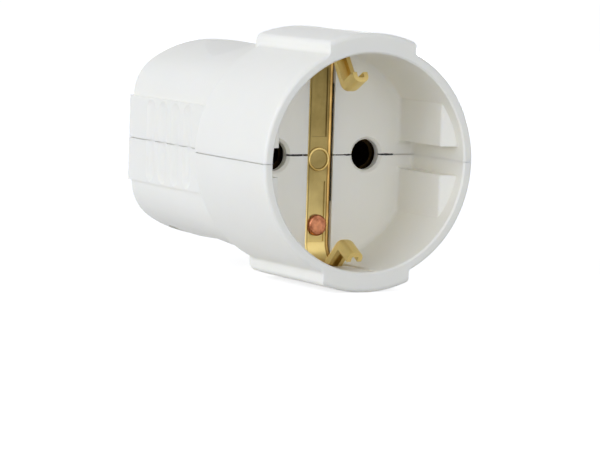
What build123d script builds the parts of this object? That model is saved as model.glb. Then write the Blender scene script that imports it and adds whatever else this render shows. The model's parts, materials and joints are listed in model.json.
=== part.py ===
from build123d import *
import os
from math import atan2, cos, radians, sin, sqrt

# Earthed cord coupler, in millimetres. The socket axis runs along Y through the well:
# the rim is at y = 0 and the cord leaves at the rear, +Y. The two half shells part at z = 0.
# The finished pieces are set down so that the lower ear rests at z = 0 under the middle of
# the body's length.

# Plug interface
pin_diameter = 4.8
pin_length = 19.0
pin_spacing = 19.0
pin_hole_clearance = 0.4
pin_hole_lead = 0.5
well_radius = 19.4
well_depth = 17.95
key_flat_distance = 16.45
key_groove_width = 5.2
key_setback = 3.4
key_bevel_rise = 1.3
key_edge_radius = 0.7
key_blend_radius = 3.0
well_floor_radius = 0.8

# Housing
collar_wall = 1.8
collar_length = 27.4
rim_edge_radius = 0.6
rim_inner_chamfer = 0.3
collar_rear_radius = 1.4
floor_thickness = 1.8
ear_width = 17.4
ear_rise = 1.8
ear_crown_radius = 24.5
ear_overrun = 1.0
ear_rear_radius = 1.6
ear_edge_radius = 0.9
ear_root_radius = 0.8
grip_side_room = 0.9
grip_taper = 0.3
grip_top_step = 1.6
grip_top_slope = 0.9
grip_side_flat = 8.1
grip_dome_radius = 22.6
grip_rear_edge_radius = 1.1
grip_wall = 2.0
rear_wall = 2.3
seam_width = 0.15
seam_depth = 0.5
rim_seam_width = 0.06
floor_seam_width = 0.2

# Finger dish on the top and bottom of the grip
dish_setback = 9.0
dish_width = 21.6
dish_corner_radius = 5.5
dish_radius = 33.0
dish_depth = 1.15
dish_length = 21.6

# Fluted side panels of the grip
panel_gap = 2.1
panel_height = 16.0
panel_rise = 0.55
flute_count = 4
flute_pitch = 5.1
flute_offset = 10.7
flute_width = 3.6
flute_depth = 0.5
flute_end_margin = 0.3

# Earth bracket, one formed strip
strip_thickness = 0.8
strap_width = 5.0
strap_recess = 0.7
strap_slot_clearance = 0.15
slot_lip = 0.4
slot_relief_width = 0.9
slot_relief_low = 8.5
slot_relief_high = 13.0
strap_bend_radius = 3.6
strap_panel_width = 3.0
strap_panel_depth = 0.25
strap_plain_length = 8.1
strap_plain_drop = 0.8
strap_ring_diameter = 4.3
strap_ring_line = 0.4
strap_ring_height = 0.18
leg_pocket_clearance = 0.25
leg_run = 1.15
leg_corner = 0.65
clip_way_depth = 0.08
clip_way_front = 1.0
clip_width = 3.0
clip_height = 1.9
clip_wall = 0.85
clip_edge_radius = 1.15
clip_groove_radius = 0.3
clip_apex_run = 6.05
clip_apex_radius = 2.3
clip_tip_run = 4.15
clip_tip_rise = 2.0
upper_clip_apex = 12.2
lower_clip_apex = 14.3

# Earth rivet and earth terminal
rivet_inset = 6.6
rivet_head_diameter = 3.9
rivet_head_height = 0.55
rivet_shank_diameter = 2.4
rivet_tail_diameter = 3.6
rivet_tail_height = 0.5
rivet_round_ratio = 0.8
earth_tab_thickness = 1.0
earth_tab_width = 7.0
earth_tab_overlap = 3.6
earth_shelf_length = 9.5

# Pin contacts and their springs
sleeve_wall = 1.0
sleeve_fit = 0.02
sleeve_slit_width = 0.8
sleeve_slit_length = 11.0
sleeve_setback = 1.2
sleeve_end_room = 0.3
terminal_size = 7.4
terminal_length = 8.7
wire_hole_diameter = 3.2
contact_spring_wall = 0.4
contact_spring_width = 4.0
contact_spring_gap = 2.0

# Inner webs, clamp and screws
seat_gap = 0.1
web_thickness = 1.6
wire_way_width = 9.0
cable_diameter = 8.6
cord_room = 0.4
clamp_thickness = 2.0
clamp_width = 6.0
clamp_lift = 1.2
post_radius = 2.4
post_offset = 1.3
boss_radius = 3.9
boss_inset = 2.95
boss_wall = 1.45
screw_seat_depth = 14.4
housing_screw_reach = 10.0
nut_size = 5.5
nut_thickness = 2.4
nut_corner_ratio = 1 / 12
nut_station = 5.2
terminal_screw_diameter = 3.5
clamp_screw_diameter = 3.0
clamp_screw_length = 9.0
housing_screw_diameter = 3.0
thread_gap = 0.05
head_ratio = 1.7
head_height_ratio = 0.6
head_round_ratio = 0.25
slot_ratio = 0.26

# Stations along the axis, each worked out from the pieces in front of it
collar_radius = well_radius + collar_wall
ear_crown = collar_radius + ear_rise
floor_back = well_depth + floor_thickness
sleeve_front = floor_back + sleeve_setback
sleeve_back = well_depth + pin_length + sleeve_end_room
terminal_back = sleeve_back + terminal_length
rear_web = terminal_back + seat_gap
clamp_reach = max(clamp_width, clamp_screw_diameter * head_ratio) / 2
post_station = rear_web + web_thickness + seat_gap + clamp_reach
boss_station = post_station + clamp_reach + seat_gap + boss_radius
cavity_back = boss_station + boss_inset
overall_length = cavity_back + rear_wall
sleeve_radius = pin_diameter / 2 + sleeve_wall
bore_radius = pin_diameter / 2 + sleeve_fit
pin_x = pin_spacing / 2
grip_half_width_rear = pin_x + terminal_size / 2 + grip_side_room + grip_wall
grip_half_width_front = grip_half_width_rear + grip_taper
grip_half_height_front = collar_radius - grip_top_step
grip_half_height_rear = grip_half_height_front - grip_top_slope
post_x = cable_diameter / 2 + post_offset + post_radius
housing_head_radius = housing_screw_diameter * head_ratio / 2 + seat_gap
boss_x = cable_diameter / 2 + boss_wall + housing_screw_diameter / 2
strap_front = well_depth + strap_recess
strap_back = strap_front + strip_thickness
bend_station = strap_front - strap_bend_radius
leg_end = bend_station - leg_run
clip_apex_station = leg_end - clip_apex_run
clip_tip_station = clip_apex_station - clip_tip_run
slot_half = strap_width / 2 + strap_slot_clearance
leg_height = well_radius + strip_thickness
rivet_drop = well_radius - rivet_inset
earth_screw_station = floor_back + earth_shelf_length / 2 + earth_tab_thickness
terminal_station = sleeve_back + terminal_length / 2
pin_sides = (("left", -1), ("right", 1))


def along_y(sketch, start, end):
    """Extrude a sketch drawn in X and Z from one station to another."""
    plane = Plane(origin=(0, start, 0), x_dir=(1, 0, 0), z_dir=(0, -1, 0))
    return extrude(plane * sketch, start - end)


def rod(radius, start, end, x=0, z=0):
    """Round bar along the socket axis."""
    return Pos(x, (start + end) / 2, z) * Rot(90, 0, 0) * Cylinder(radius, end - start)


def post(radius, x, y, bottom, top):
    """Round bar standing along Z."""
    return Pos(x, y, (bottom + top) / 2) * Cylinder(radius, top - bottom)


def shank_hole(diameter):
    """Radius of the clearance hole for a screw's or rivet's shank."""
    return diameter / 2 + thread_gap


def block(x, y, z):
    """Box between pairs of limits."""
    size = (x[1] - x[0], y[1] - y[0], z[1] - z[0])
    return Pos((x[0] + x[1]) / 2, (y[0] + y[1]) / 2, (z[0] + z[1]) / 2) * Box(*size)


def grip_share(station):
    """0 at the collar's rear, 1 at the rear end."""
    return (station - collar_length) / (overall_length - collar_length)


def grip_half_width(station):
    return grip_half_width_front + grip_share(station) * (grip_half_width_rear - grip_half_width_front)


def grip_half_height(station):
    return grip_half_height_front + grip_share(station) * (grip_half_height_rear - grip_half_height_front)


def grip_section(station, inset):
    """Flat sides, a domed top and bottom, and corner arcs tangent to both."""
    half_width = grip_half_width(station) - inset
    half_height = grip_half_height(station) - inset
    dome = grip_dome_radius - inset
    rise = grip_side_flat - half_height + dome
    corner = (dome**2 - half_width**2 - rise**2) / (2 * (dome - half_width))
    turn = atan2(rise, half_width - corner)
    corner_x = half_width - corner
    meet = (corner_x + corner * cos(turn), grip_side_flat + corner * sin(turn))
    middle = (corner_x + corner * cos(turn / 2), grip_side_flat + corner * sin(turn / 2))
    side = Line((half_width, 0), (half_width, grip_side_flat))
    shoulder = ThreePointArc((half_width, grip_side_flat), middle, meet)
    crown = ThreePointArc(meet, (0, half_height), (-meet[0], meet[1]))
    upper = Curve() + [side, shoulder, crown, mirror(shoulder, Plane.YZ), mirror(side, Plane.YZ)]
    outline = make_face(upper + mirror(upper, Plane.XZ))
    return Plane(origin=(0, station, 0), x_dir=(1, 0, 0), z_dir=(0, -1, 0)) * outline


def grip_body(front, rear, inset):
    return loft([grip_section(front, inset), grip_section(rear, inset)], ruled=True)


def collar():
    drum = rod(collar_radius, 0, collar_length)
    rims = drum.edges().filter_by(GeomType.CIRCLE).sort_by(Axis.Y)
    drum = fillet(rims[-1], collar_rear_radius)
    front = drum.edges().filter_by(GeomType.CIRCLE).sort_by(Axis.Y)[0]
    return fillet(front, rim_edge_radius)


def ear(side):
    """Raised pad with a crowned top, flush with the rim in front."""
    half = ear_width / 2
    crown_drop = ear_crown_radius - sqrt(ear_crown_radius**2 - half**2)
    shoulder = ear_crown - crown_drop
    base = Polyline((half, shoulder), (half, 0), (-half, 0), (-half, shoulder))
    crown = ThreePointArc((half, shoulder), (0, ear_crown), (-half, shoulder))
    outline = make_face(base + crown)
    pad = along_y(outline, 0, collar_length + ear_overrun)
    top = pad.edges().filter_by(GeomType.CIRCLE).sort_by(Axis.Y)
    pad = fillet(top[-1], ear_rear_radius)
    long_edges = pad.edges().filter_by(Axis.Y).group_by(Axis.Z)[-1]
    front = pad.edges().filter_by(GeomType.CIRCLE).sort_by(Axis.Y)[0]
    pad = fillet(long_edges + [front], ear_edge_radius)
    return pad if side > 0 else mirror(pad, Plane.XY)


def side_panel(side):
    """Raised grip panel with a row of upright flutes."""
    front = collar_length + panel_gap
    half = panel_height / 2
    outer_front = grip_half_width(front) + panel_rise
    outer_rear = grip_half_width(overall_length) + panel_rise
    inner = grip_half_width_rear - grip_wall / 2
    plan = make_face(
        Polyline(
            (inner, front),
            (outer_front, front),
            (outer_rear, overall_length),
            (inner, overall_length),
            close=True,
        )
    )
    panel = extrude(plan, half, both=True)
    rear = panel.edges().filter_by(Axis.Z).sort_by(Axis.Y)[-2:].sort_by(Axis.X)[-1]
    panel = fillet(rear, panel_rise)
    flute_radius = (flute_width**2 / 4 + flute_depth**2) / (2 * flute_depth)
    reach = half - flute_end_margin - flute_width / 2
    for index in range(flute_count):
        y = collar_length + flute_offset + index * flute_pitch
        x = grip_half_width(y) + panel_rise - flute_depth + flute_radius
        flute = post(flute_radius, x, y, -reach, reach)
        flute += Pos(x, y, reach) * Sphere(flute_radius)
        flute += Pos(x, y, -reach) * Sphere(flute_radius)
        panel -= flute
    return panel if side > 0 else mirror(panel, Plane.YZ)


def finger_dish():
    """What the dish takes off the top of the grip: deepest in front, running out to the rear."""
    front = collar_length + dish_setback
    rear = front + dish_length
    floor_front = grip_half_height(front) - dish_depth
    floor_rear = grip_half_height(rear)
    plan = RectangleRounded(dish_width, 2 * dish_length, dish_corner_radius)
    cutter = extrude(Pos(0, rear, grip_side_flat) * plan, ear_crown - grip_side_flat)
    lie = Plane(
        origin=(0, front, floor_front - dish_radius),
        x_dir=(1, 0, 0),
        z_dir=(0, dish_length, floor_rear - floor_front),
    )
    return cutter - lie * Cylinder(dish_radius, 4 * dish_length)


def well():
    """Round well with a pair of key blocks and a groove between them on each side."""
    hollow = rod(well_radius, -collar_wall, well_depth)
    bevel_end = key_setback - key_bevel_rise
    plan = Polyline(
        (key_flat_distance, floor_back),
        (key_flat_distance, key_setback),
        (well_radius, bevel_end),
        (collar_radius, bevel_end),
        (collar_radius, floor_back),
        close=True,
    )
    plan = make_face(plan)
    nose = plan.vertices().sort_by_distance((key_flat_distance, key_setback))[0]
    key = extrude(fillet(nose, key_edge_radius), well_radius, both=True)
    section = Circle(well_radius) & Rectangle(2 * key_flat_distance, 2 * well_radius)
    key -= along_y(fillet(section.vertices(), key_blend_radius), -collar_wall, floor_back)
    groove_half = key_groove_width / 2
    key -= block((0, collar_radius), (-collar_wall, floor_back), (-groove_half, groove_half))
    hollow -= key
    hollow -= mirror(key, Plane.YZ)
    hollow = fillet(hollow.faces().sort_by(Axis.Y)[-1].edges(), well_floor_radius)
    mouth = well_radius + rim_inner_chamfer
    lip = Rot(90, 0, 0) * Cone(well_radius, mouth, rim_inner_chamfer)
    return hollow + Pos(0, rim_inner_chamfer / 2, 0) * lip


def bracket_ways():
    """Undercut slot across the floor, wall pockets for the legs and a shallow way to each clip."""
    pocket_top = leg_height + leg_pocket_clearance
    pocket_front = leg_end - clip_height - strip_thickness
    slot = block((-slot_half, slot_half), (well_depth - seat_gap, strap_back), (-pocket_top, pocket_top))
    for side in (1, -1):
        low, high = sorted((side * key_flat_distance, side * pocket_top))
        slot += block((-slot_half, slot_half), (pocket_front, strap_back), (low, high))
        low, high = sorted((side * key_flat_distance, side * (well_radius + clip_way_depth)))
        slot += block((-slot_half, slot_half), (clip_way_front, pocket_front), (low, high))
    relief = slot_half + slot_relief_width
    return slot + block(
        (-relief, relief),
        (well_depth + slot_lip, floor_back + seat_gap),
        (-slot_relief_low, slot_relief_high),
    )


def pin_holes():
    """Round holes through the well's floor with a bevelled lead-in."""
    radius = pin_diameter / 2 + pin_hole_clearance
    left = rod(radius, well_depth - seat_gap, floor_back + seat_gap, x=-pin_x)
    lead = Rot(90, 0, 0) * Cone(radius, radius + pin_hole_lead, pin_hole_lead)
    left += Pos(-pin_x, well_depth + pin_hole_lead / 2, 0) * lead
    return left + mirror(left, Plane.YZ)


def inner_webs():
    """Cross walls that cradle the sleeves, stop the terminals and bear the cord."""
    stations = (sleeve_front + web_thickness, sleeve_back - seat_gap - web_thickness, rear_web)
    half = grip_half_width_front
    tall = grip_half_height_front
    webs = Part()
    for station in stations:
        webs += block((-half, half), (station, station + web_thickness), (-tall, tall))
    webs -= block(
        (-wire_way_width / 2, wire_way_width / 2), (floor_back, rear_web + 2 * web_thickness), (-tall, tall)
    )
    for _, side in pin_sides:
        webs -= rod(sleeve_radius + seat_gap, floor_back, sleeve_back, x=side * pin_x)
        webs -= rod(wire_hole_diameter, terminal_back, rear_web + 2 * web_thickness, x=side * pin_x)
    return webs


def screw_bosses():
    tall = grip_half_height_front
    bosses = Part()
    for _, side in pin_sides:
        bosses += post(boss_radius, side * boss_x, boss_station, -tall, tall)
    return bosses - rod(cable_diameter / 2 + cord_room, rear_web, cavity_back)


def clamp_cradle():
    """Lower posts for the clamp screws and the saddle under the cord."""
    tall = grip_half_height_front
    cradle = block(
        (-post_x, post_x),
        (post_station - web_thickness, post_station + web_thickness),
        (-tall, -cable_diameter / 4),
    )
    cradle -= rod(cable_diameter / 2, rear_web, cavity_back)
    hole = shank_hole(clamp_screw_diameter)
    hole_bottom = clamp_lift + clamp_thickness - clamp_screw_length - seat_gap
    for _, side in pin_sides:
        cradle += post(post_radius, side * post_x, post_station, -tall, clamp_lift)
        cradle -= post(hole, side * post_x, post_station, hole_bottom, tall)
    return cradle


def housing_screw_ways():
    """Counterbores from below, clearance holes and side slots for the square nuts."""
    tall = ear_crown
    shank = shank_hole(housing_screw_diameter)
    nut_half = nut_size / 2 + thread_gap
    ways = Part()
    for _, side in pin_sides:
        x = side * boss_x
        ways += post(housing_head_radius, x, boss_station, -tall, -screw_seat_depth)
        ways += post(shank, x, boss_station, -screw_seat_depth - seat_gap, housing_screw_reach + seat_gap)
        low, high = sorted((x + side * nut_half, x - side * (boss_radius + nut_half)))
        ways += block(
            (low, high),
            (boss_station - nut_half, boss_station + nut_half),
            (nut_station - thread_gap, nut_station + nut_thickness + thread_gap),
        )
    return ways


def cord_inlet():
    """Hole in the rear wall with a bell mouth outside."""
    radius = cable_diameter / 2
    hole = rod(radius, cavity_back - seat_gap, overall_length + seat_gap)
    mouth_depth = rear_wall / 2
    mouth = Rot(-90, 0, 0) * Cone(radius, radius + mouth_depth, mouth_depth)
    return hole + Pos(0, overall_length - mouth_depth / 2, 0) * mouth


def seam_line():
    """Shallow gap along the parting plane, outside and in the well."""
    half = seam_width / 2
    front = collar_length + panel_gap
    panel_front = grip_half_width(front) + panel_rise
    panel_rear = grip_half_width(overall_length) + panel_rise
    far = 2 * collar_radius
    rim_land = rim_edge_radius
    land = Polyline(
        (-well_radius, rim_land),
        (-collar_radius + seam_depth, rim_land),
        (-collar_radius + seam_depth, collar_length - collar_rear_radius),
        (-grip_half_width(front) + seam_depth, front),
        (-panel_front + seam_depth, front),
        (-panel_rear + seam_depth, overall_length - seam_depth),
        (panel_rear - seam_depth, overall_length - seam_depth),
        (panel_front - seam_depth, front),
        (grip_half_width(front) - seam_depth, front),
        (collar_radius - seam_depth, collar_length - collar_rear_radius),
        (collar_radius - seam_depth, rim_land),
        (well_radius, rim_land),
        close=True,
    )
    ring = block((-far, far), (-far, 2 * overall_length), (-half, half))
    ring -= extrude(make_face(land), half, both=True)
    ring -= block((-far, far), (-far, rim_land), (-half, half))
    floor_half = floor_seam_width / 2
    floor_line = block(
        (-well_radius, well_radius), (rim_land, well_depth + seam_depth), (-floor_half, floor_half)
    )
    rim_half = rim_seam_width / 2
    rim_line = block((-far, far), (-far, rim_land), (-rim_half, rim_half))
    return ring + floor_line + rim_line


def rivet_hole():
    return rod(shank_hole(rivet_shank_diameter), well_depth, floor_back + seat_gap, z=-rivet_drop)


def half_shells():
    """The closed body, parted into its upper and lower half."""
    body = collar() + grip_body(collar_length - collar_rear_radius, overall_length, 0)
    rear_edges = body.faces().sort_by(Axis.Y)[-1].edges()
    body = fillet(rear_edges, grip_rear_edge_radius)
    dish = finger_dish()
    body -= dish
    body -= mirror(dish, Plane.XY)
    for side in (1, -1):
        body += ear(side)
    root_height = sqrt(collar_radius**2 - ear_width**2 / 4)
    roots = [
        edge
        for edge in body.edges().filter_by(Axis.Y)
        if abs(abs(edge.center().X) - ear_width / 2) < seam_width
        and abs(abs(edge.center().Z) - root_height) < seam_width
    ]
    body = fillet(roots, ear_root_radius)
    for side in (1, -1):
        body += side_panel(side)
    cavity = grip_body(floor_back, cavity_back, grip_wall)
    body -= well()
    body -= cavity
    body += (inner_webs() + screw_bosses()) & cavity
    body -= bracket_ways()
    body -= pin_holes()
    body -= rivet_hole()
    body -= housing_screw_ways()
    body -= cord_inlet()
    body -= seam_line()
    far = 2 * overall_length
    upper = body & block((-far, far), (-far, far), (0, far))
    lower = body & block((-far, far), (-far, far), (-far, 0))
    return upper, lower + (clamp_cradle() & cavity)


def tangent_point(start, centre, radius, turn):
    """Where a line from start touches a circle, on the side that turn (1 or -1) picks."""
    away = (centre[0] - start[0], centre[1] - start[1])
    distance = sqrt(away[0] ** 2 + away[1] ** 2)
    length = sqrt(distance**2 - radius**2)
    heading = atan2(away[1], away[0]) + turn * atan2(radius, length)
    return (start[0] + length * cos(heading), start[1] + length * sin(heading))


def clip(apex):
    """Sprung channel: out of the wall, inwards to its apex and back towards the wall."""
    root = (leg_end + strip_thickness, leg_height - strip_thickness / 2)
    end = (clip_tip_station, apex + clip_tip_rise)
    centre = (clip_apex_station, apex + clip_apex_radius)
    inward = tangent_point(root, centre, clip_apex_radius, 1)
    outward = tangent_point(end, centre, clip_apex_radius, -1)
    apex_point = (clip_apex_station, apex)
    path = [Line(root, inward), ThreePointArc(inward, apex_point, outward), Line(outward, end)]
    route = Plane.YZ * Wire(path)
    channel = Rectangle(clip_width, clip_height, align=(Align.CENTER, Align.MIN))
    channel = fillet(channel.vertices().group_by(Axis.Y)[0], clip_edge_radius)
    inside = Pos(0, clip_wall) * Rectangle(
        clip_width - 2 * clip_wall, clip_height, align=(Align.CENTER, Align.MIN)
    )
    inside = fillet(inside.vertices().group_by(Axis.Y)[0], clip_groove_radius)
    start = Plane(origin=route @ 0, x_dir=(1, 0, 0), z_dir=route % 0)
    formed = sweep(start * (channel - inside), path=route)
    reach = 2 * well_radius
    return formed & block((-reach, reach), (0, reach), (0, leg_height))


def bracket_limb(apex, plain_end):
    """Upper half of the strip: half the strap, its bend, a leg and its clip."""
    inner = strap_bend_radius
    outer = inner + strip_thickness
    bend_z = leg_height - outer
    lean = sin(radians(45))
    back = [
        Line((strap_back, 0), (strap_back, bend_z)),
        ThreePointArc(
            (strap_back, bend_z),
            (bend_station + outer * lean, bend_z + outer * lean),
            (bend_station, leg_height),
        ),
        Line((bend_station, leg_height), (leg_end, leg_height)),
        Line((leg_end, leg_height), (leg_end, leg_height - strip_thickness)),
        Line((leg_end, leg_height - strip_thickness), (bend_station, leg_height - strip_thickness)),
        ThreePointArc(
            (bend_station, leg_height - strip_thickness),
            (bend_station + inner * lean, bend_z + inner * lean),
            (strap_front, bend_z),
        ),
        Line((strap_front, bend_z), (strap_front, 0)),
        Line((strap_front, 0), (strap_back, 0)),
    ]
    strip = extrude(Plane.YZ * make_face(back), strap_width / 2, both=True)
    corners = strip.edges().filter_by(Axis.Z).sort_by(Axis.Y)[:2]
    strip = chamfer(corners, leg_corner)
    panel = block(
        (-strap_panel_width / 2, strap_panel_width / 2),
        (well_depth, strap_front + strap_panel_depth),
        (plain_end, bend_z),
    )
    return strip - panel + clip(apex)


def earth_bracket():
    """Strap, legs and clips of one strip, coined and pierced for its rivet."""
    upper_plain = strap_plain_length / 2 - strap_plain_drop
    lower_plain = strap_plain_length / 2 + strap_plain_drop
    bracket = bracket_limb(upper_clip_apex, upper_plain)
    bracket += mirror(bracket_limb(lower_clip_apex, lower_plain), Plane.XY)
    outer = strap_ring_diameter / 2
    ring_front = strap_front - strap_ring_height
    ring = rod(outer, ring_front, strap_front, z=-strap_plain_drop)
    ring -= rod(outer - strap_ring_line, ring_front, strap_front, z=-strap_plain_drop)
    hole = rod(shank_hole(rivet_shank_diameter), well_depth, floor_back, z=-rivet_drop)
    return bracket + ring - hole


def earth_rivet():
    """Domed copper head, shank and the tail set over behind the terminal."""
    head_front = strap_front - rivet_head_height
    tail_front = floor_back + earth_tab_thickness
    tail_back = tail_front + rivet_tail_height
    head = rod(rivet_head_diameter / 2, head_front, strap_front)
    head = fillet(head.edges().sort_by(Axis.Y)[0], rivet_head_height * rivet_round_ratio)
    tail = rod(rivet_tail_diameter / 2, tail_front, tail_back)
    tail = fillet(tail.edges().sort_by(Axis.Y)[-1], rivet_tail_height * rivet_round_ratio)
    shank = rod(rivet_shank_diameter / 2, strap_front, tail_front)
    return Pos(0, 0, -rivet_drop) * (head + shank + tail)


def earth_terminal():
    """Brass angle: a tab riveted behind the floor and a shelf for the wire's screw."""
    half = earth_tab_width / 2
    top = earth_tab_overlap - rivet_drop
    bottom = -earth_tab_overlap - rivet_drop
    shelf_back = floor_back + earth_shelf_length
    under = top - earth_tab_thickness
    angle = make_face(
        Polyline(
            (floor_back, bottom),
            (floor_back, top),
            (shelf_back, top),
            (shelf_back, under),
            (floor_back + earth_tab_thickness, under),
            (floor_back + earth_tab_thickness, bottom),
            close=True,
        )
    )
    outer_corner = angle.vertices().sort_by_distance((floor_back, top))[0]
    angle = fillet(outer_corner, earth_tab_thickness)
    terminal = extrude(Plane.YZ * angle, half, both=True)
    free_corners = terminal.edges().filter_by(Axis.Z).sort_by(Axis.Y)[-2:]
    terminal = fillet(free_corners, earth_tab_thickness)
    terminal -= rod(shank_hole(rivet_shank_diameter), floor_back, shelf_back, z=-rivet_drop)
    return terminal - post(shank_hole(terminal_screw_diameter), 0, earth_screw_station, bottom, top)


def cheese_screw(diameter, length):
    """Slotted screw hanging from the underside of its head at z = 0."""
    head_radius = diameter * head_ratio / 2
    head_height = diameter * head_height_ratio
    slot_depth = head_height / 2
    head = post(head_radius, 0, 0, 0, head_height)
    head = fillet(head.edges().sort_by(Axis.Z)[-1], head_height * head_round_ratio)
    slot_half_width = diameter * slot_ratio / 2
    head -= block(
        (-head_radius, head_radius),
        (-slot_half_width, slot_half_width),
        (head_height - slot_depth, head_height),
    )
    shank = post(diameter / 2, 0, 0, -length, 0)
    shank = chamfer(shank.edges().sort_by(Axis.Z)[0], diameter * slot_ratio / 2)
    return head + shank


def pin_contact():
    """Slit sleeve for the pin and a block with the wire's screw terminal, on the axis."""
    tube = rod(sleeve_radius, sleeve_front, sleeve_back)
    terminal_end = RectangleRounded(terminal_size, terminal_size, sleeve_wall)
    terminal = along_y(terminal_end, sleeve_back, terminal_back)
    contact = tube + terminal
    contact -= rod(bore_radius, sleeve_front, sleeve_back)
    half_slit = sleeve_slit_width / 2
    contact -= block(
        (-half_slit, half_slit),
        (sleeve_front, sleeve_front + sleeve_slit_length),
        (-sleeve_radius, sleeve_radius),
    )
    contact -= rod(wire_hole_diameter / 2, terminal_station - wire_hole_diameter, terminal_back)
    return contact - post(shank_hole(terminal_screw_diameter), 0, terminal_station, 0, terminal_size)


def contact_spring():
    """Open ring around the slit part of a sleeve."""
    inner = sleeve_radius + thread_gap
    middle = sleeve_front + sleeve_slit_length - contact_spring_width
    front = middle - contact_spring_width / 2
    back = middle + contact_spring_width / 2
    ring = rod(inner + contact_spring_wall, front, back) - rod(inner, front, back)
    half_gap = contact_spring_gap / 2
    return ring - block((-half_gap, half_gap), (front, back), (0, 2 * inner))


def cable_clamp():
    """Bar with round ends, arched over the cord."""
    bar = extrude(SlotCenterToCenter(2 * post_x, clamp_width), clamp_thickness)
    bar = Pos(0, post_station, clamp_lift) * bar
    front = post_station - clamp_width / 2
    back = post_station + clamp_width / 2
    inner = cable_diameter / 2
    reach = 2 * inner
    arch = rod(inner + clamp_thickness, front, back)
    bar += arch & block((-reach, reach), (front, back), (clamp_lift, reach))
    bar -= rod(inner, front, back)
    for _, side in pin_sides:
        bar -= post(shank_hole(clamp_screw_diameter), side * post_x, post_station, 0, reach)
    return bar


def housing_nut():
    nut = extrude(RectangleRounded(nut_size, nut_size, nut_size * nut_corner_ratio), nut_thickness)
    return nut - post(shank_hole(housing_screw_diameter), 0, 0, 0, nut_thickness)


def save(shape, name):
    export_step(Pos(0, -overall_length / 2, ear_crown) * shape, "parts/" + name + ".step")


def main():
    os.makedirs("parts", exist_ok=True)
    upper, lower = half_shells()
    save(upper, "upper_shell")
    save(lower, "lower_shell")
    save(earth_bracket(), "earth_bracket")
    save(earth_rivet(), "earth_rivet")
    save(earth_terminal(), "earth_terminal")
    earth_top = earth_tab_overlap - rivet_drop
    earth_screw = cheese_screw(terminal_screw_diameter, earth_tab_overlap)
    save(Pos(0, earth_screw_station, earth_top) * earth_screw, "earth_terminal_screw")
    save(cable_clamp(), "cable_clamp")
    terminal_screw = cheese_screw(terminal_screw_diameter, terminal_size / 2)
    clamp_screw = cheese_screw(clamp_screw_diameter, clamp_screw_length)
    housing_screw = cheese_screw(housing_screw_diameter, screw_seat_depth + housing_screw_reach)
    for name, side in pin_sides:
        at_pin = Pos(side * pin_x, 0, 0)
        at_boss = Pos(side * boss_x, boss_station, 0)
        save(at_pin * pin_contact(), name + "_contact")
        save(at_pin * contact_spring(), name + "_contact_spring")
        on_terminal = at_pin * Pos(0, terminal_station, terminal_size / 2)
        save(on_terminal * terminal_screw, name + "_terminal_screw")
        clamp_top = clamp_lift + clamp_thickness
        save(Pos(side * post_x, post_station, clamp_top) * clamp_screw, name + "_clamp_screw")
        from_below = at_boss * Pos(0, 0, -screw_seat_depth) * Rot(180, 0, 0)
        save(from_below * housing_screw, name + "_housing_screw")
        save(at_boss * Pos(0, 0, nut_station) * housing_nut(), name + "_housing_nut")


if __name__ == "__main__":
    main()
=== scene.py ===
import json
import math

import bpy
from mathutils import Matrix, Vector


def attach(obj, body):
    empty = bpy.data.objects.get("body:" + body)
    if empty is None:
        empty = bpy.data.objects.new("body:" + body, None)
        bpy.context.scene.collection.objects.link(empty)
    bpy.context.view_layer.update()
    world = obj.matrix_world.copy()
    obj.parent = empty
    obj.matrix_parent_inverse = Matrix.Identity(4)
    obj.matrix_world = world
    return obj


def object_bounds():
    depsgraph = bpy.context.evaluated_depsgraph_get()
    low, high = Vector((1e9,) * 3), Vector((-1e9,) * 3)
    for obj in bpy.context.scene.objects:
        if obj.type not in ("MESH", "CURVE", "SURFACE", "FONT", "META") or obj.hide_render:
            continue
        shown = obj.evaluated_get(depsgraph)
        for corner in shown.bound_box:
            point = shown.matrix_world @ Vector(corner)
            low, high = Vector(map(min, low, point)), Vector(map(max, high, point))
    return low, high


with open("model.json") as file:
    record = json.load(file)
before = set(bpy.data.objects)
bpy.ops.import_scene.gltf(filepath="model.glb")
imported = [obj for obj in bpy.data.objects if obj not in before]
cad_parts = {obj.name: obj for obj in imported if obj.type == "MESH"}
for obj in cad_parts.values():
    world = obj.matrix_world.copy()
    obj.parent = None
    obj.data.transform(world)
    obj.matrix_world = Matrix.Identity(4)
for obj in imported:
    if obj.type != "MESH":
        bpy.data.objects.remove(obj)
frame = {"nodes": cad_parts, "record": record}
cad_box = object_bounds()
mm = 0.001

# y runs back from the rim, and z up from the floor to the axis of the well.
rim = cad_box[0].y
axis_height = 23 * mm


def linear(hex_colour):
    """An sRGB hex colour as linear red, green, blue and an alpha of 1."""
    parts = [int(hex_colour[i : i + 2], 16) / 255 for i in (1, 3, 5)]
    return [c / 12.92 if c <= 0.04045 else ((c + 0.055) / 1.055) ** 2.4 for c in parts] + [1.0]


def add(tree, kind, inputs, **settings):
    """One node with its settings; each input is a value or another node's output."""
    made = tree.nodes.new(kind)
    for name, value in settings.items():
        setattr(made, name, value)
    for socket, value in inputs.items():
        if isinstance(value, bpy.types.NodeSocket):
            tree.links.new(value, made.inputs[socket])
        else:
            made.inputs[socket].default_value = value
    return made


def new_material(name):
    material = bpy.data.materials.new(name)
    material.use_nodes = True
    material.node_tree.nodes.clear()
    return material, material.node_tree


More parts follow.
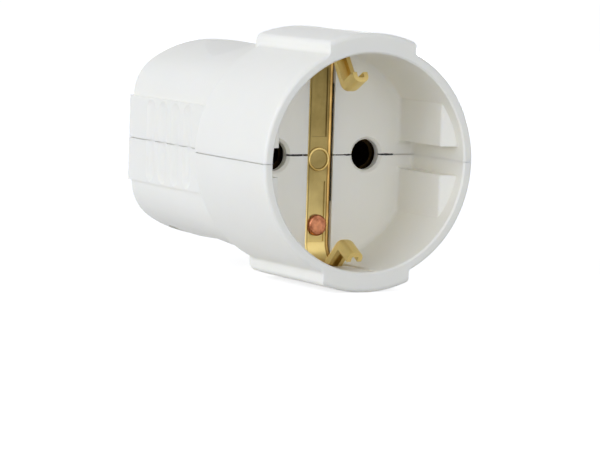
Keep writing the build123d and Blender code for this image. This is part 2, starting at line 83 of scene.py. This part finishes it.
# White moulded thermoplastic: an even satin skin with a faint grain from the mould, a
# slightly warm body colour that gathers where light bounces about in the well, and soft
# wide highlights on the rounded edges. Along the seam in the well's floor a ragged dark
# band is painted in: painted shade for the dark line of the gap between the halves.
def moulded_white_thermoplastic():
    flow_mark = 16 * mm
    mould_grain = 0.45 * mm  # really 0.1 mm, drawn coarser so that it shows
    seam_middle = (0, rim + 18.2 * mm, axis_height)
    seam_half_length = 15.5 * mm
    seam_half_depth = 0.4 * mm
    ragged_length = 1.6 * mm
    least_shade_half_width = 0.1 * mm
    most_shade_half_width = 0.2 * mm

    material, tree = new_material("white_thermoplastic_moulded_satin")
    place = add(tree, "ShaderNodeTexCoord", {}).outputs["Object"]
    flow = add(
        tree, "ShaderNodeTexNoise", {"Vector": place, "Scale": 1 / flow_mark, "Detail": 2.0}
    )
    grain = add(
        tree, "ShaderNodeTexNoise", {"Vector": place, "Scale": 1 / mould_grain, "Detail": 2.0}
    )
    tone = add(
        tree,
        "ShaderNodeMix",
        {0: flow.outputs["Fac"], 6: linear("#FAF7EC"), 7: linear("#F6F3E7")},
        data_type="RGBA",
    )
    ragged = add(
        tree, "ShaderNodeTexNoise", {"Vector": place, "Scale": 1 / ragged_length, "Detail": 2.0}
    )
    shade_half_width = add(
        tree,
        "ShaderNodeMapRange",
        {
            "Value": ragged.outputs["Fac"],
            "From Min": 0.4,
            "From Max": 0.62,
            "To Min": least_shade_half_width,
            "To Max": most_shade_half_width,
        },
    )
    from_seam = add(tree, "ShaderNodeVectorMath", {0: place, 1: seam_middle}, operation="SUBTRACT")
    apart = add(tree, "ShaderNodeVectorMath", {0: from_seam.outputs[0]}, operation="ABSOLUTE")
    apart = add(tree, "ShaderNodeSeparateXYZ", {0: apart.outputs[0]})
    seam_painted_shade = 1.0
    for axis, reach in (("X", seam_half_length), ("Y", seam_half_depth), ("Z", shade_half_width.outputs[0])):
        within = add(
            tree, "ShaderNodeMath", {0: apart.outputs[axis], 1: reach}, operation="LESS_THAN"
        )
        seam_painted_shade = add(
            tree, "ShaderNodeMath", {0: seam_painted_shade, 1: within.outputs[0]}, operation="MULTIPLY"
        ).outputs[0]
    # Painted shade: inside the ragged band along the floor seam the colour turns near black.
    tone = add(
        tree,
        "ShaderNodeMix",
        {0: seam_painted_shade, 6: tone.outputs[2], 7: linear("#2A211A")},
        data_type="RGBA",
    )
    satin = add(
        tree,
        "ShaderNodeMapRange",
        {
            "Value": grain.outputs["Fac"],
            "From Min": 0.3,
            "From Max": 0.7,
            "To Min": 0.34,
            "To Max": 0.46,
        },
    )
    skin = add(
        tree,
        "ShaderNodeBump",
        {"Height": grain.outputs["Fac"], "Strength": 0.25, "Distance": 0.01 * mm},
    )
    plastic = add(
        tree,
        "ShaderNodeBsdfPrincipled",
        {
            "Base Color": tone.outputs[2],
            "Roughness": satin.outputs["Result"],
            "IOR": 1.49,
            "Normal": skin.outputs["Normal"],
            "Subsurface Weight": 0.35,
            "Subsurface Radius": (1.0, 0.9, 0.7),
            "Subsurface Scale": 1.2 * mm,
        },
    )
    add(tree, "ShaderNodeOutputMaterial", {"Surface": plastic.outputs["BSDF"]})
    return material


# Metals that were rolled, headed, turned or plated: streaks along the working direction,
# clouded by handling, so the highlight breaks up along them. Sizes are in millimetres.
# An optional pair of depths gives two stations from front to back: before the first the
# metal keeps its bright colour, and behind the second it is painted darker, the more so
# the higher it lies: painted shade deep in the well.
def worked_metal(name, bright, clouded_and_shaded, rough, streak_size, cloud_size, dent, shade_depths=None):
    shade_from_height = 7 * mm
    shade_full_height = 27 * mm
    shade_rise = 0.4
    most_shade = 0.82
    speckle_share = 0.15

    material, tree = new_material(name)
    place = add(tree, "ShaderNodeTexCoord", {}).outputs["Object"]
    along = add(
        tree, "ShaderNodeMapping", {"Vector": place, "Scale": [1 / (s * mm) for s in streak_size]}
    )
    streak = add(
        tree,
        "ShaderNodeTexNoise",
        {"Vector": along.outputs["Vector"], "Scale": 1.0, "Detail": 3.0},
    )
    cloud = add(
        tree,
        "ShaderNodeTexNoise",
        {"Vector": place, "Scale": 1 / (cloud_size * mm), "Detail": 4.0},
    )
    share = add(
        tree,
        "ShaderNodeMapRange",
        {"Value": cloud.outputs["Fac"], "From Min": 0.35, "From Max": 0.68},
    )
    clouding_and_shade = share.outputs["Result"]
    # Painted shade: behind the first depth and higher up, the colour moves towards the dark
    # colour.
    if shade_depths:
        axes = add(tree, "ShaderNodeSeparateXYZ", {0: place})
        depth = add(
            tree,
            "ShaderNodeMapRange",
            {"Value": axes.outputs["Y"], "From Min": shade_depths[0], "From Max": shade_depths[1]},
        )
        height = add(
            tree,
            "ShaderNodeMapRange",
            {
                "Value": axes.outputs["Z"],
                "From Min": shade_from_height,
                "From Max": shade_full_height,
            },
        )
        rise = add(
            tree, "ShaderNodeMath", {0: height.outputs[0], 1: shade_rise}, operation="POWER"
        )
        deep_shade = add(
            tree, "ShaderNodeMath", {0: depth.outputs[0], 1: rise.outputs[0]}, operation="MULTIPLY"
        )
        deep_shade = add(
            tree, "ShaderNodeMath", {0: deep_shade.outputs[0], 1: most_shade}, operation="MULTIPLY"
        )
        speckle = add(tree, "ShaderNodeMath", {0: clouding_and_shade, 1: speckle_share}, operation="MULTIPLY")
        clouding_and_shade = add(
            tree, "ShaderNodeMath", {0: deep_shade.outputs[0], 1: speckle.outputs[0]}, operation="ADD"
        ).outputs[0]
    colour = add(
        tree,
        "ShaderNodeMix",
        {0: clouding_and_shade, 6: linear(bright), 7: linear(clouded_and_shaded)},
        data_type="RGBA",
    )
    polish = add(
        tree,
        "ShaderNodeMapRange",
        {
            "Value": streak.outputs["Fac"],
            "From Min": 0.3,
            "From Max": 0.7,
            "To Min": rough - 0.06,
            "To Max": rough + 0.1,
        },
    )
    relief = add(
        tree,
        "ShaderNodeBump",
        {"Height": streak.outputs["Fac"], "Strength": 0.5, "Distance": dent * mm},
    )
    metal = add(
        tree,
        "ShaderNodeBsdfPrincipled",
        {
            "Base Color": colour.outputs[2],
            "Metallic": 1.0,
            "Roughness": polish.outputs["Result"],
            "Normal": relief.outputs["Normal"],
        },
    )
    add(tree, "ShaderNodeOutputMaterial", {"Surface": metal.outputs["BSDF"]})
    return material


# Moulded polyamide: a duller, yellower plastic than the housing, with a coarse matt grain.
def moulded_polyamide():
    mould_grain = 0.6 * mm  # really about 0.2 mm, drawn coarser so that it shows

    material, tree = new_material("polyamide_moulded_matt")
    place = add(tree, "ShaderNodeTexCoord", {}).outputs["Object"]
    grain = add(
        tree, "ShaderNodeTexNoise", {"Vector": place, "Scale": 1 / mould_grain, "Detail": 3.0}
    )
    tone = add(
        tree,
        "ShaderNodeMix",
        {0: grain.outputs["Fac"], 6: linear("#DCDAD0"), 7: linear("#CFCCBF")},
        data_type="RGBA",
    )
    skin = add(
        tree,
        "ShaderNodeBump",
        {"Height": grain.outputs["Fac"], "Strength": 0.4, "Distance": 0.03 * mm},
    )
    plastic = add(
        tree,
        "ShaderNodeBsdfPrincipled",
        {
            "Base Color": tone.outputs[2],
            "Roughness": 0.6,
            "IOR": 1.53,
            "Normal": skin.outputs["Normal"],
        },
    )
    add(tree, "ShaderNodeOutputMaterial", {"Surface": plastic.outputs["BSDF"]})
    return material


# Brass strip, cold rolled: a yellow shine drawn out along the strip, painted brown deep in the
# well as painted shade. Its streaks, really about 0.03 mm wide, are drawn at 0.22 mm so that they
# show.
strip_surface = {
    "rough": 0.34,
    "streak_size": (0.22, 0.22, 7.0),
    "cloud_size": 5.0,
    "dent": 0.0006,
}
rolled_brass = worked_metal(
    "brass_strip_rolled",
    "#FCE298",
    "#6C5B30",
    # painted shade from 13 mm behind the rim, full by 17 mm
    shade_depths=(rim + 13 * mm, rim + 17 * mm),
    **strip_surface,
)
# The same strip for the raised ring, left out of the painted shade and with a paler dark colour: a
# painted highlight on the ring.
lit_copy_brass = worked_metal("brass_strip_lit_copy", "#FCE298", "#B79A58", **strip_surface)
# The same strip for the right rolled edge only: a warmer, redder colour, a painted reflection.
warm_reflection_brass = worked_metal("brass_strip_warm_reflection", "#D4AE68", "#A08048", **strip_surface)
# Brass turned from rod, coloured a dark brown: painted shade deep in the pin holes, with a
# brown glint. Its tool marks, really about 0.05 mm, are drawn at 0.4 mm.
shaded_turned_brass = worked_metal(
    "brass_turned_painted_shade",
    "#4A3A20",
    "#2A2012",
    rough=0.45,
    streak_size=(0.4, 2.0, 0.4),
    cloud_size=3.0,
    dent=0.01,
)
# Copper, cold headed: a pink face, mottled and dimpled where the header struck it.
headed_copper = worked_metal(
    "copper_cold_headed",
    "#D48F69",
    "#9C6044",
    rough=0.3,
    streak_size=(0.8, 0.8, 0.8),
    cloud_size=1.1,
    dent=0.12,
)
# Steel, turned and zinc plated: a pale, cool, slightly clouded shine. The plating's grain,
# really about 0.02 mm, is drawn at 0.3 mm.
plated_steel = worked_metal(
    "steel_turned_zinc_plated",
    "#D3D5D6",
    "#B4B6B4",
    rough=0.3,
    streak_size=(0.3, 0.3, 0.3),
    cloud_size=2.5,
    dent=0.01,
)

finishes = {
    "housing": moulded_white_thermoplastic(),
    "brass": rolled_brass,
    "copper": headed_copper,
    "plated_steel": plated_steel,
    "clamp": moulded_polyamide(),
}
for subpart in frame["record"]["subparts"]:
    finish = finishes[subpart["material_slot"]]
    # the contacts take the dark turned brass: painted shade in the pin holes
    if subpart["node"] in ("left_contact", "right_contact"):
        finish = shaded_turned_brass
    for slot in frame["nodes"][subpart["node"]].material_slots:
        slot.material = finish

# Relief on the earth strap: a rolled edge along each side, carried round both bends, and a
# raised ring. All are half round, so that each holds a thin highlight.
strap_face = rim + 18.65 * mm
strap_half_width = 2.5 * mm
bend_radius = 3.6 * mm
bend_drop = 15.8 * mm
bend_steps = 12
edge_half_width = 0.34 * mm
edge_flatness = 0.6
ring_height = axis_height - 0.8 * mm
ring_radius = 1.95 * mm
ring_half_width = 0.26 * mm
ring_rise = 0.05 * mm
relief_root = 0.02 * mm
cut_tolerance = 0.0001 * mm
smooth_below = math.radians(40)


def keep_front_half(use_fill):
    """Cut away what lies behind the relief's root, just under the strap's face, in edit mode."""
    bpy.ops.mesh.select_all(action="SELECT")
    bpy.ops.mesh.bisect(
        plane_co=(0, strap_face + relief_root, 0),
        plane_no=(0, 1, 0),
        use_fill=use_fill,
        clear_outer=True,
        threshold=cut_tolerance,
    )


def finish_relief(piece, name, finish):
    """Close the mesh, leave edit mode and join the piece to the strap."""
    bpy.ops.mesh.select_all(action="SELECT")
    bpy.ops.mesh.remove_doubles(threshold=cut_tolerance)
    bpy.ops.mesh.normals_make_consistent(inside=False)
    bpy.ops.object.mode_set(mode="OBJECT")
    bpy.ops.object.shade_smooth_by_angle(angle=smooth_below)
    piece.name = name
    piece.data.materials.append(finish)
    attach(piece, "root")


# the right edge takes the warm copy of the brass: a painted reflection
edges = (("left_rolled_edge", -1, rolled_brass), ("right_rolled_edge", 1, warm_reflection_brass))
for name, side, finish in edges:
    bpy.ops.object.select_all(action="DESELECT")
    bpy.ops.mesh.primitive_cylinder_add(
        vertices=32,
        radius=edge_half_width,
        depth=2 * bend_drop,
        location=(side * (strap_half_width - edge_half_width), strap_face, axis_height),
    )
    bpy.ops.object.transform_apply(location=True, rotation=True, scale=True)
    edge = bpy.context.object
    bpy.ops.object.mode_set(mode="EDIT")
    bpy.ops.transform.resize(value=(1, edge_flatness, 1))
    keep_front_half(use_fill=True)
    for end, turn in ((1, -90), (-1, 90)):
        bend_height = axis_height + end * bend_drop
        bpy.ops.mesh.select_mode(type="FACE")
        bpy.ops.mesh.select_all(action="DESELECT")
        bpy.ops.object.mode_set(mode="OBJECT")
        for face in edge.data.polygons:
            at_bend = abs(face.center.z - bend_height) < relief_root
            face.select = at_bend and face.normal.z * end > 0.9
        bpy.ops.object.mode_set(mode="EDIT")
        bpy.ops.mesh.spin(
            steps=bend_steps,
            angle=math.radians(turn),
            center=(0, strap_face - bend_radius, bend_height),
            axis=(1, 0, 0),
        )
    finish_relief(edge, name, finish)

bpy.ops.object.select_all(action="DESELECT")
bpy.ops.mesh.primitive_torus_add(
    major_segments=64,
    minor_segments=20,
    major_radius=ring_radius,
    minor_radius=ring_half_width,
    location=(0, strap_face - ring_rise, ring_height),
    rotation=(math.radians(90), 0, 0),
)
bpy.ops.object.transform_apply(location=True, rotation=True, scale=True)
ring = bpy.context.object
bpy.ops.object.mode_set(mode="EDIT")
keep_front_half(use_fill=False)
bpy.ops.mesh.bridge_edge_loops()
finish_relief(ring, "coined_ring", lit_copy_brass)

# Floor and world: white to the camera and in reflections, with the object's soft shadow kept.
floor_radius = 6.0
floor_glow = 0.72
room_fall = (-0.14, 0.0, -0.62)
room_at_eye_level = 0.95
daylight = linear("#F0F4FF")


def seen_directly(tree):
    """1 for what the camera sees, straight, in a reflection or through glass, and 0 otherwise."""
    rays = add(tree, "ShaderNodeLightPath", {})
    seen = rays.outputs["Is Camera Ray"]
    for ray in ("Is Glossy Ray", "Is Transmission Ray"):
        either = add(tree, "ShaderNodeMath", {0: seen, 1: rays.outputs[ray]}, operation="MAXIMUM")
        seen = either.outputs[0]
    return seen


bpy.ops.object.select_all(action="DESELECT")
bpy.ops.mesh.primitive_circle_add(vertices=96, radius=floor_radius, fill_type="NGON")
floor = bpy.context.object
floor.name = "studio_floor"
# White paper, matt: an even white with no shine.
paper, tree = new_material("white_paper_matt")
lift = add(tree, "ShaderNodeMath", {0: seen_directly(tree), 1: floor_glow}, operation="MULTIPLY")
glow = add(
    tree, "ShaderNodeEmission", {"Color": linear("#FFFFFF"), "Strength": lift.outputs[0]}
)
sheet = add(tree, "ShaderNodeBsdfDiffuse", {"Color": linear("#CECECE")})
both = add(tree, "ShaderNodeAddShader", {0: glow.outputs[0], 1: sheet.outputs[0]})
add(tree, "ShaderNodeOutputMaterial", {"Surface": both.outputs[0]})
floor.data.materials.append(paper)

world = bpy.data.worlds.new("studio_room")
bpy.context.scene.world = world
world.use_nodes = True
tree = world.node_tree
tree.nodes.clear()
# brighter on the left, and about a third as bright overhead as at eye level
facing = add(tree, "ShaderNodeTexCoord", {}).outputs["Generated"]
fall = add(tree, "ShaderNodeVectorMath", {0: facing, 1: room_fall}, operation="DOT_PRODUCT")
room_level = add(
    tree, "ShaderNodeMath", {0: fall.outputs["Value"], 1: room_at_eye_level}, operation="ADD"
)
room = add(
    tree, "ShaderNodeBackground", {"Color": daylight, "Strength": room_level.outputs[0]}
)
white = add(tree, "ShaderNodeBackground", {"Color": linear("#FFFFFF"), "Strength": 1.0})
shown = add(
    tree, "ShaderNodeMixShader", {0: seen_directly(tree), 1: room.outputs[0], 2: white.outputs[0]}
)
add(tree, "ShaderNodeOutputWorld", {"Surface": shown.outputs[0]})


def soft_box(name, place, size, watts):
    """A rectangular lamp that faces the object's middle; place and size are in metres."""
    lamp = bpy.data.lights.new(name, "AREA")
    lamp.shape = "RECTANGLE"
    lamp.size, lamp.size_y = size
    lamp.energy = watts
    lamp.color = daylight[:3]
    holder = bpy.data.objects.new(name, lamp)
    bpy.context.scene.collection.objects.link(holder)
    holder.location = place
    aim = Vector((0, 0, axis_height)) - Vector(place)
    holder.rotation_euler = aim.to_track_quat("-Z", "Y").to_euler()


soft_box("left_window", place=(-0.84, -0.16, 0.18), size=(0.5, 0.7), watts=4.2)
soft_box("front_panel", place=(0.0, -0.97, 0.1), size=(0.5, 0.2), watts=1.2)
soft_box("rear_panel", place=(0.68, 0.62, 0.07), size=(0.6, 0.12), watts=2.4)

# The camera: from the front left and a little above, turned slightly about its own axis.
# Its aim passes to the left of the rim's centre and below it.
azimuth = math.radians(-29.03)
elevation = math.radians(5.53)
tilt = math.radians(1.79)
distance = 614.5 * mm
aim_left = 12.37 * mm
aim_below = 11.13 * mm
focal_pixels = 3485.8
image_width_pixels = 600
sensor_width = 36.0

back = Vector(
    (
        math.sin(azimuth) * math.cos(elevation),
        -math.cos(azimuth) * math.cos(elevation),
        math.sin(elevation),
    )
)
level = Vector((0, 0, 1)).cross(back).normalized()
upright = back.cross(level)
right = level * math.cos(tilt) + upright * math.sin(tilt)
up = upright * math.cos(tilt) - level * math.sin(tilt)
rim_centre = Vector((0, rim, axis_height))
eye = bpy.data.cameras.new("photographer")
eye.sensor_width = sensor_width
eye.lens = focal_pixels * sensor_width / image_width_pixels
eye.clip_start, eye.clip_end = 0.01, 50.0
camera = bpy.data.objects.new("photographer", eye)
bpy.context.scene.collection.objects.link(camera)
camera.matrix_world = Matrix((right, up, back)).transposed().to_4x4()
camera.location = rim_centre + back * distance - right * aim_left - up * aim_below
bpy.context.scene.camera = camera

bpy.context.scene.view_settings.view_transform = "Standard"
